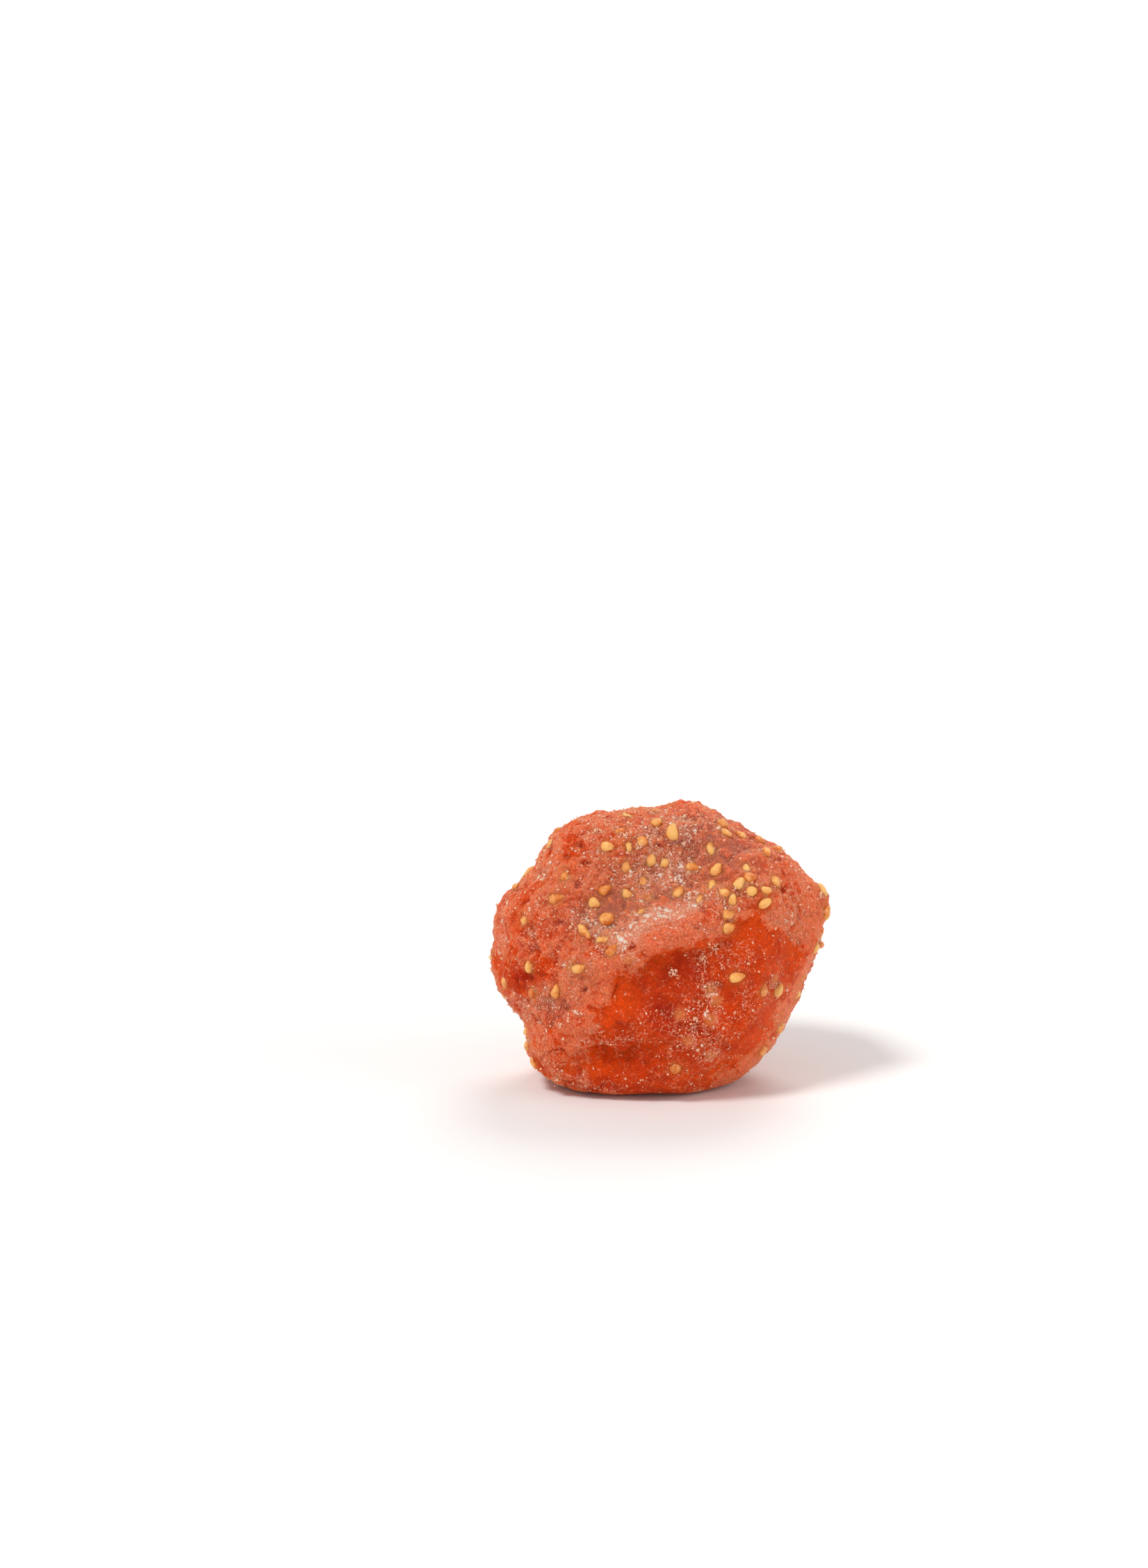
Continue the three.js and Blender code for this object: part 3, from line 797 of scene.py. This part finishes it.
def candied_flesh(flesh):
    """Sugar-dried strawberry flesh, shrunk in warm air and dusted with sugar.

    The eye sees clear red where it is moist, salmon where bloom lies on it, mauve in the hull hollow, and
    pale lace and flecks of sugar that are too fine to be made as grains. The deeper red in folds, pits and on
    the belly is partly painted shade, clear orange patches on the belly are painted glow, and paler bloom on
    the lip, on raised flesh and along the rim is partly painted light.
    """
    material, tree = new_material("candied strawberry flesh")
    mm = in_millimetres(tree)
    marks = {
        name: add(tree, "ShaderNodeAttribute", output="Fac", attribute_name=name)
        for name in ("bloom", "frost", "mauve", "deep", "film")
    }
    # Each pattern has its scale, its layers, how rough it is and how much it is bent.
    drift, mottle, fine, clot, lace, clump = (
        add(tree, "ShaderNodeTexNoise", {
            "Vector": mm, "Scale": scale, "Detail": layers, "Roughness": rough, "Distortion": bent
        })
        for scale, layers, rough, bent in (
            (0.5, 3, 0.5, 0.0),
            (1.5, 6, 0.72, 0.0),
            (5.5, 4, 0.75, 0.0),
            (2.3, 6, 0.8, 0.0),
            (1.7, 3, 0.6, 0.6),
            (1.3, 4, 0.7, 0.0),
        )
    )

    # Clear flesh is deeper red in what is sunk: partly its own colour and partly painted shade. It is left
    # clear red where an orange glow is painted.
    shade = add(tree, "ShaderNodeClamp", {"Value": swayed(tree, marks["deep"], drift, 1.4)})

    # Bloom: a thin crust of sugar that breaks up into patches from a quarter of a millimetre to 2 mm across.
    # On the fold's lip, on raised flesh and along the rim it is partly painted light, and where it is taken
    # out of hollows, partly painted shade.
    patch = swayed(tree, marks["bloom"], mottle, 4.4)
    broken = swayed(tree, patch, fine, 1.4)
    bloom = add(tree, "ShaderNodeMapRange", {
        "Value": broken, "From Min": 0.3, "From Max": 0.75, "To Max": 0.94
    })

    # A seed under a film of flesh shows as a blurred tan spot.
    seed_glow = add(tree, "ShaderNodeMath", {0: marks["film"], 1: 0.85}, operation="MULTIPLY")

    # Fine and coarse grain make the colour a little lighter and darker, about 0.15 mm and 0.4 mm apart.
    fine_grain, coarse_grain = (
        add(tree, "ShaderNodeMapRange", {
            "Value": pattern, "From Min": 0.3, "From Max": 0.7, "To Min": least, "To Max": most
        })
        for pattern, least, most in ((fine, 0.74, 1.28), (clot, 0.78, 1.22))
    )

    # A pale veil of the finest sugar, in clots up to half a millimetre across.
    veil = add(tree, "ShaderNodeMath", {0: marks["frost"], 1: 0.45, 2: clot}, operation="MULTIPLY_ADD")
    veil = add(tree, "ShaderNodeMapRange", {
        "Value": veil, "From Min": 0.78, "From Max": 0.84, "To Max": 0.45
    })

    # Flakes of sugar stand on drawn spots 0.2 to 0.9 mm apart, bent out of round and wider in thick frost.
    bend = add(tree, "ShaderNodeTexNoise", {"Vector": mm, "Scale": 4, "Detail": 2}, output="Color")
    bent = add(tree, "ShaderNodeVectorMath", {0: bend, 1: (0.5, 0.5, 0.5), 2: mm}, operation="MULTIPLY_ADD")
    thick = swayed(tree, marks["frost"], clump, 3.4, middle=0.56)
    thick = add(tree, "ShaderNodeMapRange", {"Value": thick, "To Min": 0.06})
    fleck = 0.0
    for spacing, widest in ((0.9, 0.3), (0.42, 0.7), (0.2, 0.7)):
        near = add(tree, "ShaderNodeTexVoronoi", {"Vector": bent, "Scale": 1 / spacing}, output="Distance")
        own = add(tree, "ShaderNodeSeparateColor", {0: near.node.outputs["Color"]})
        wide = add(tree, "ShaderNodeMath", {0: own, 1: widest, 2: 0.02}, operation="MULTIPLY_ADD")
        wide = add(tree, "ShaderNodeMath", {0: wide, 1: thick}, operation="MULTIPLY")
        wide = add(tree, "ShaderNodeMath", {0: wide, 1: near}, operation="SUBTRACT")
        flake = add(tree, "ShaderNodeMapRange", {"Value": wide, "From Max": 0.08, "To Max": own})
        fleck = add(tree, "ShaderNodeMath", {0: flake, 1: fleck}, operation="MAXIMUM")

    # Lace runs along the lines where another noise is level, with gaps, and only through frost.
    level = add(tree, "ShaderNodeMath", {0: lace, 1: 0.5}, operation="SUBTRACT")
    level = add(tree, "ShaderNodeMath", {0: level}, operation="ABSOLUTE")
    thread = add(tree, "ShaderNodeMapRange", {"Value": level, "From Min": 0.03, "From Max": 0.012})
    for where, least, most, full in ((marks["frost"], 0.1, 0.5, 0.75), (fine, 0.46, 0.54, 1.0)):
        here = add(tree, "ShaderNodeMapRange", {
            "Value": where, "From Min": least, "From Max": most, "To Max": full
        })
        thread = add(tree, "ShaderNodeMath", {0: thread, 1: here}, operation="MULTIPLY")
    dust = add(tree, "ShaderNodeMath", {0: fleck, 1: thread}, operation="MAXIMUM")
    clean = add(tree, "ShaderNodeMapRange", {"Value": dust, "From Min": 0.6, "From Max": 0.95})
    tints = {0: clean, 6: opaque(flesh.fleck), 7: opaque(flesh.spark)}
    white = add(tree, "ShaderNodeMix", tints, output=2, data_type="RGBA")
    dusted = add(tree, "ShaderNodeMapRange", {"Value": dust, "From Max": 0.5, "To Max": 0.92})

    # The colours lie over each other in this order, each by its share.
    colour = opaque(flesh.red)
    for share, tint, blend in (
        (shade, opaque(flesh.deep), "MIX"),
        (marks["mauve"], opaque(flesh.mauve), "MIX"),
        (bloom, opaque(flesh.haze), "MIX"),
        (seed_glow, opaque(flesh.film), "MIX"),
        (1.0, fine_grain, "MULTIPLY"),
        (1.0, coarse_grain, "MULTIPLY"),
        (veil, opaque(flesh.veil), "MIX"),
        (dusted, white, "MIX"),
    ):
        tints = {0: share, 6: colour, 7: tint}
        colour = add(tree, "ShaderNodeMix", tints, output=2, data_type="RGBA", blend_type=blend)

    # The film of syrup is satin, and sugar makes it dull and keeps the light from sinking in.
    rough = add(tree, "ShaderNodeMapRange", {"Value": bloom, "To Min": 0.36, "To Max": 0.6})
    inside = add(tree, "ShaderNodeMapRange", {"Value": dust, "To Min": 0.9, "To Max": 0.15})
    bump = add(tree, "ShaderNodeBump", {"Height": patch, "Strength": 0.7, "Distance": 0.07 * MM})
    for height, strength, depth in ((clot, 0.8, 0.14), (fine, 1.0, 0.07), (dust, 0.8, 0.03)):
        bump = add(tree, "ShaderNodeBump", {
            "Height": height, "Strength": strength, "Distance": depth * MM, "Normal": bump
        })
    shader = add(tree, "ShaderNodeBsdfPrincipled", {
        "Base Color": colour,
        "Roughness": rough,
        "Normal": bump,
        "IOR": 1.42,
        "Specular IOR Level": 0.12,
        "Subsurface Weight": inside,
        "Subsurface Radius": (1.0, 0.2, 0.08),
        "Subsurface Scale": 2.0 * MM,
    })
    add(tree, "ShaderNodeOutputMaterial", {"Surface": shader})
    return material


def achene(seeds):
    """Dry strawberry seeds: hard, faintly glossy and golden to amber. They are paler on top as painted light,
    and amber where they enter the flesh as painted shade.
    """
    material, tree = new_material("golden achene")
    mm = in_millimetres(tree)
    tone = add(tree, "ShaderNodeAttribute", output="Fac", attribute_name="tone")
    stain = add(tree, "ShaderNodeTexNoise", {"Vector": mm, "Scale": 2.2, "Detail": 4, "Roughness": 0.6})
    crumb = add(tree, "ShaderNodeTexNoise", {"Vector": mm, "Scale": 5, "Detail": 4, "Roughness": 0.7})
    shade = add(tree, "ShaderNodeClamp", {"Value": swayed(tree, tone, stain, 2.0)})
    dusty = add(tree, "ShaderNodeMapRange", {
        "Value": crumb, "From Min": 0.56, "From Max": 0.66, "To Max": 0.75
    })
    colour = opaque(seeds.gold)
    for share, tint in ((shade, seeds.amber), (dusty, seeds.dust)):
        tints = {0: share, 6: colour, 7: opaque(tint)}
        colour = add(tree, "ShaderNodeMix", tints, output=2, data_type="RGBA")
    bump = add(tree, "ShaderNodeBump", {"Height": crumb, "Strength": 0.9, "Distance": 0.1 * MM})
    shader = add(tree, "ShaderNodeBsdfPrincipled", {
        "Base Color": colour,
        "Roughness": 0.35,
        "Normal": bump,
        "IOR": 1.5,
        "Specular IOR Level": 0.45,
        "Subsurface Weight": 0.5,
        "Subsurface Radius": (1.0, 0.5, 0.15),
        "Subsurface Scale": 0.3 * MM,
    })
    add(tree, "ShaderNodeOutputMaterial", {"Surface": shader})
    return material


def crystal_sugar(sugar):
    """Sugar crystallised out of syrup: small clear blocks that look white, or peach where stained."""
    material, tree = new_material("crystal sugar")
    tone = add(tree, "ShaderNodeAttribute", output="Fac", attribute_name="tone")
    tints = {0: tone, 6: opaque(sugar.peach), 7: opaque(sugar.white)}
    colour = add(tree, "ShaderNodeMix", tints, output=2, data_type="RGBA")
    shader = add(tree, "ShaderNodeBsdfPrincipled", {"Base Color": colour, "Roughness": 0.25, "IOR": 1.55})
    add(tree, "ShaderNodeOutputMaterial", {"Surface": shader})
    return material


def pale_floor(stage):
    """Matt white paper, too even to show its fibres: the eye sees the fruit's shadow and red glow on it."""
    material, tree = new_material("matt white paper")
    shader = add(tree, "ShaderNodeBsdfPrincipled", {"Base Color": opaque(stage.floor), "Roughness": 0.7})
    add(tree, "ShaderNodeOutputMaterial", {"Surface": shader})
    return material


class FRUIT_OT_make_flesh(bpy.types.Operator):
    """Makes the flesh: one closed skin with lumps, creases, pits, and collars round the seeds"""

    bl_idname = "fruit.make_flesh"
    bl_label = "Make flesh"

    def execute(self, context):
        flesh = context.scene.fruit_flesh
        directions, quads = ball_grid(flesh.steps)
        points, places = skin(flesh, directions)
        out = corner_normals(points, quads)
        height, marks = fine_relief(flesh, points, places, directions[:, 2])
        seeds = seed_places(flesh)
        middles, _ = skin(flesh, np.array([seed.direction for seed in seeds]))
        for middle, seed in zip(middles, seeds):
            gap = np.linalg.norm(points - middle, axis=1) / MM
            around = ROUND_SUNK_SEED if seed.covered else ROUND_FREE_SEED
            height += around["rise"] * MM * bell(gap, around["at"], around["width"])
            film = around["film"] * np.exp(-((gap / around["reach"]) ** 4))
            marks["film"] = np.maximum(marks["film"], film)
            marks["frost"] += around["frost"] * bell(gap, *FROST_RING)
        height *= blend_step(points[:, 2], 0, FOOT_FADE)
        points = points + out * height[:, None]
        points[:, 2] = np.maximum(points[:, 2], 0)
        piece = mesh_object("strawberry_flesh", points, quads, marks, candied_flesh(flesh))
        piece.data.shade_smooth()
        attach(piece, "root")
        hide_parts("dried_strawberry")
        return {"FINISHED"}


class FRUIT_OT_make_seeds(bpy.types.Operator):
    """Makes the seeds: a tapered ball for each, bent by noise and sunk into the flesh"""

    bl_idname = "fruit.make_seeds"
    bl_label = "Make seeds"

    def execute(self, context):
        flesh, settings = context.scene.fruit_flesh, context.scene.fruit_seeds
        seeds = [seed for seed in seed_places(flesh) if not seed.covered]
        directions = np.array([seed.direction for seed in seeds])
        points, places, frames = skin_frames(flesh, directions)
        height, _ = fine_relief(flesh, points, places, directions[:, 2])
        drop, faces, along, rise = self.drop(settings)
        numbers = drawn(SEED_DRAW, 4 * len(seeds)).reshape(-1, 4)
        corners, middles = [], []
        for seed, point, lift, ways, own in zip(seeds, points, height, frames, numbers):
            turn = radians(seed.turn)
            spin = np.array([[cos(turn), -sin(turn), 0], [sin(turn), cos(turn), 0], [0, 0, 1]])
            sizes = seed.scale * between(SEED_SIZES, own[[0, 1, 3]])
            lift = lift - seed.sink * between(SEED_DEPTHS, own[0])
            placed = (drop * sizes) @ spin.T + (0, 0, lift)
            corners.append(point + placed @ ways.T)
            middles.append(np.broadcast_to(point + ways[:, 2] * lift, placed.shape))
        corners, middles = np.concatenate(corners), np.concatenate(middles)
        knobs, crumbs = (
            noise(corners, apart, SEED_DRAW + 1 + k) for k, (_, apart) in enumerate((SEED_KNOB, SEED_CRUMB))
        )
        out = SEED_KNOB[0] * knobs + SEED_CRUMB[0] * crumbs
        corners = corners + unit(corners - middles) * out[:, None]
        # Painted light and shade: the tone is paler on the outward side and on raised knobs, and more amber
        # toward the flesh.
        tones = weighed(SEED_TONES_AND_PAINTED_LIGHT, {
            "own": np.repeat(numbers[:, 2], len(drop)),
            "top": np.tile(rise, len(seeds)),
            "tip": np.tile(along, len(seeds)),
            "sink": np.repeat([seed.sink for seed in seeds], len(drop)),
            "knob": knobs,
            "all": 1,
        })
        faces = np.concatenate([faces + k * len(drop) for k in range(len(seeds))])
        marks = {"tone": np.clip(tones, 0, 1)}
        piece = mesh_object("strawberry_seeds", corners, faces, marks, achene(settings))
        piece.data.shade_smooth()
        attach(piece, "root")
        return {"FINISHED"}

    def drop(self, settings):
        """Corners, quads, place along it and upward share of a drop: a ball drawn out along x and tapered."""
        corners, faces = ball_grid(SEED_STEPS)
        along, _, rise = corners.T
        taper = 1 - SEED_TAPER * along
        shape = corners / 2 * np.stack([np.ones(len(along)), taper, taper], axis=1)
        return shape * (settings.length, settings.width, settings.thickness), faces, along, rise


class FRUIT_OT_make_sugar(bpy.types.Operator):
    """Makes the sugar: small blocks with drawn sizes and turns, thick where the flesh is frosted"""

    bl_idname = "fruit.make_sugar"
    bl_label = "Make sugar"

    def execute(self, context):
        flesh, sugar = context.scene.fruit_flesh, context.scene.fruit_sugar
        skin_piece = bpy.data.objects["strawberry_flesh"].data
        count = len(skin_piece.vertices)
        points, normals, frost = np.empty(3 * count), np.empty(3 * count), np.empty(count)
        skin_piece.vertices.foreach_get("co", points)
        skin_piece.vertex_normals.foreach_get("vector", normals)
        skin_piece.attributes["frost"].data.foreach_get("value", frost)
        points, normals = points.reshape(-1, 3), normals.reshape(-1, 3)
        draw = np.random.default_rng(SUGAR["draw"])
        clump = blend_step(layered_noise(points, SUGAR["clumps"], draw=95, layers=2, share=0.6), -0.1, 0.45)
        weight = (SUGAR["bare"] + frost**1.5) * (SUGAR["between clumps"] + clump)
        weight *= points[:, 2] > SUGAR["above floor"]
        chosen = draw.choice(count, sugar.grains, p=weight / weight.sum())
        spots = points[chosen] + draw.normal(0, SUGAR["stray"], (sugar.grains, 3))
        outs = normals[chosen]
        growth = draw.random(sugar.grains) ** SUGAR["fineness"]
        size = sugar.smallest * (sugar.largest / sugar.smallest) ** growth
        tone = np.clip(draw.normal(*SUGAR["whiteness"], sugar.grains), 0, 1)
        for place, spread, grains, shade in SUGAR_CLUSTERS:
            x, y = MM * np.array(place)[:, None]
            middle, _, ways = skin_frames(flesh, face_directions(x, y))
            nearest = np.argmin(np.linalg.norm(points - middle, axis=1))
            scatter = draw.normal(0, spread * MM, (grains, 3)) * CLUSTER_SHAPE
            spots = np.concatenate([spots, points[nearest] + scatter @ ways[0].T])
            outs = np.concatenate([outs, np.repeat(normals[nearest][None], grains, axis=0)])
            size = np.concatenate([size, draw.uniform(*CLUSTER_SIZES, grains) * MM])
            tone = np.concatenate([tone, np.full(grains, CLUSTER_WHITENESS * shade)])
        corners, faces = self.blocks(spots + outs * size[:, None] * SUGAR["proud"], size, draw)
        marks = {"tone": np.repeat(tone, 8)}
        piece = mesh_object("sugar_grains", corners, faces, marks, crystal_sugar(sugar))
        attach(piece, "root")
        return {"FINISHED"}

    def blocks(self, spots, size, draw):
        """Corners and quads of a block for each spot: a cube with drawn sides, corners and turn."""
        count = len(spots)
        cube = np.array(list(product((-0.5, 0.5), repeat=3)))
        sides = np.array([(0, 1, 3, 2), (4, 6, 7, 5), (0, 4, 5, 1), (2, 3, 7, 6), (0, 2, 6, 4), (1, 5, 7, 3)])
        shapes = cube + draw.uniform(-SUGAR["bent corners"], SUGAR["bent corners"], (count, 8, 3))
        shapes = shapes * draw.uniform(*SUGAR["sides"], (count, 1, 3)) * size[:, None, None]
        a, b = unit(draw.normal(size=(count, 3))), unit(draw.normal(size=(count, 3)))
        c = unit(np.cross(a, b))
        turns = np.stack([a, c, np.cross(a, c)], axis=1)
        turns[:, 2] = np.cross(turns[:, 0], turns[:, 1])
        corners = np.einsum("nij,njk->nik", shapes, turns) + spots[:, None]
        faces = sides + 8 * np.arange(count)[:, None, None]
        return corners.reshape(-1, 3), faces.reshape(-1, 4)


class FRUIT_OT_make_stage(bpy.types.Operator):
    """Makes the stage: a white floor, soft lights, an even sky and the camera at the photograph's angle"""

    bl_idname = "fruit.make_stage"
    bl_label = "Make stage"

    def execute(self, context):
        stage, flesh = context.scene.fruit_stage, context.scene.fruit_flesh
        half = FLOOR_SIZE / 2
        corners = np.array([(-half, -half, 0), (half, -half, 0), (half, half, 0), (-half, half, 0)])
        floor = mesh_object("floor", corners, np.array([[0, 1, 2, 3]]), {}, pale_floor(stage))

        # Each light has its name, its strength, how wide it is in degrees and the way to it.
        for name, strength, spread, place in (
            ("top light", stage.top_light, 16, (-0.45, -0.35, 0.9)),
            ("back light", stage.back_light, 30, (0.2, 0.7, 0.75)),
            ("side light", stage.side_light, 40, (0.85, -0.2, 0.4)),
        ):
            lamp = bpy.data.lights.new(name, "SUN")
            lamp.energy = strength
            lamp.angle = radians(spread)
            holder = bpy.data.objects.new(name, lamp)
            holder.location = place
            holder.rotation_euler = (-Vector(place)).to_track_quat("-Z", "Y").to_euler()
            context.scene.collection.objects.link(holder)

        self.make_sky(context, stage)
        self.make_camera(context, stage, Vector((-MIDDLE[0], -MIDDLE[1], flesh.foot_height)))
        context.scene.view_settings.view_transform = "Standard"
        return {"FINISHED"}

    def make_sky(self, context, stage):
        """An even white sky: full white near the horizon, where it meets the floor, and softer higher up."""
        world = bpy.data.worlds.new("white sky")
        context.scene.world = world
        world.use_nodes = True
        tree = world.node_tree
        tree.nodes.clear()
        way = add(tree, "ShaderNodeTexCoord", output="Generated")
        height = add(tree, "ShaderNodeSeparateXYZ", {0: way}, output="Z")
        strength = add(tree, "ShaderNodeMapRange", {
            "Value": height, "From Min": 0.04, "From Max": 0.3, "To Min": 1.0, "To Max": stage.sky
        })
        sky = add(tree, "ShaderNodeBackground", {"Color": opaque(linear("#FFFFFF")), "Strength": strength})
        add(tree, "ShaderNodeOutputWorld", {"Surface": sky})

    def make_camera(self, context, stage, middle):
        """The camera: as far off as the photograph's scale asks, with the fruit where the photo shows it."""
        data = bpy.data.cameras.new("camera")
        data.lens = stage.lens
        data.sensor_width = SENSOR / MM
        data.clip_start = NEAREST_SEEN
        distance = PHOTO_SIZE[1] / SENSOR * stage.lens * MM / PHOTO_SCALE
        back = Vector((0, -cos(stage.elevation), sin(stage.elevation)))
        up = Vector((0, sin(stage.elevation), cos(stage.elevation)))
        left_by = (PHOTO_FRUIT[0] - PHOTO_SIZE[0] / 2) / PHOTO_SCALE
        above_by = (PHOTO_FRUIT[1] - PHOTO_SIZE[1] / 2) / PHOTO_SCALE
        aim = middle - Vector((left_by, 0, 0)) + up * above_by
        holder = bpy.data.objects.new("camera", data)
        holder.location = middle + back * distance
        holder.rotation_euler = (aim - holder.location).to_track_quat("-Z", "Y").to_euler()
        context.scene.collection.objects.link(holder)
        context.scene.camera = holder


class VIEW3D_PT_fruit(bpy.types.Panel):
    """The fruit's settings and the buttons that make its pieces."""

    bl_idname = "VIEW3D_PT_fruit"
    bl_label = "Dried strawberry"
    bl_space_type = "VIEW_3D"
    bl_region_type = "UI"
    bl_category = "Fruit"

    def draw(self, context):
        scene = context.scene
        for operator, settings in (
            (FRUIT_OT_make_flesh, scene.fruit_flesh),
            (FRUIT_OT_make_seeds, scene.fruit_seeds),
            (FRUIT_OT_make_sugar, scene.fruit_sugar),
            (FRUIT_OT_make_stage, scene.fruit_stage),
        ):
            box = self.layout.box()
            for name in settings.__annotations__:
                box.prop(settings, name)
            box.operator(operator.bl_idname)


SETTINGS = {
    "fruit_flesh": FleshSettings,
    "fruit_seeds": SeedSettings,
    "fruit_sugar": SugarSettings,
    "fruit_stage": StageSettings,
}
CLASSES = (
    *SETTINGS.values(),
    FRUIT_OT_make_flesh,
    FRUIT_OT_make_seeds,
    FRUIT_OT_make_sugar,
    FRUIT_OT_make_stage,
    VIEW3D_PT_fruit,
)


def register():
    """Makes the classes known, and gives the scene their settings."""
    for cls in CLASSES:
        bpy.utils.register_class(cls)
    for name, cls in SETTINGS.items():
        setattr(bpy.types.Scene, name, bpy.props.PointerProperty(type=cls))


def unregister():
    """Takes the settings and the classes away again."""
    for name in SETTINGS:
        delattr(bpy.types.Scene, name)
    for cls in reversed(CLASSES):
        bpy.utils.unregister_class(cls)


def main():
    """Makes every piece and the stage."""
    register()
    bpy.ops.fruit.make_stage()
    bpy.ops.fruit.make_flesh()
    bpy.ops.fruit.make_seeds()
    bpy.ops.fruit.make_sugar()


if __name__ == "__main__":
    main()
